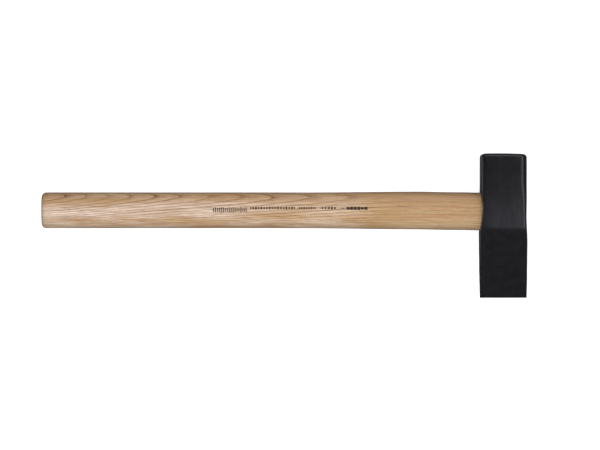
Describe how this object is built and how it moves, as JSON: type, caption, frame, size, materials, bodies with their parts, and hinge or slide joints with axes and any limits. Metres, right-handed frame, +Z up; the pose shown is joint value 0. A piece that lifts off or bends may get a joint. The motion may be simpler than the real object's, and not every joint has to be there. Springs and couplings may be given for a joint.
{
  "type": "splitting maul",
  "caption": "Splitting maul: blunt forged steel wedge with a square hammer poll, wedged onto a straight oval ash handle.",
  "frame": {"origin": "on the cheek that the maul lies on, straight under the middle of the eye", "axes": "+X along the handle from butt to head, +Y from the cutting edge to the poll, +Z up through the cheeks; the handle's axis is at Y 0 in the eye, 28.7 mm above the floor"},
  "size_m": [0.5984, 0.1779, 0.0574],
  "materials": {
    "head_paint": "satin black lacquer over forged steel",
    "handle_ash": "sanded ash under a thin satin lacquer",
    "wedge_beech": "plain beech, end grain showing",
    "wedge_steel": "bare steel, driven flush"
  },
  "bodies": {
    "root": {"head": "head_paint", "handle": "handle_ash", "kerf_wedge": "wedge_beech", "steel_wedge_poll_side": "wedge_steel", "steel_wedge_edge_side": "wedge_steel"}
  },
  "joints": []
}
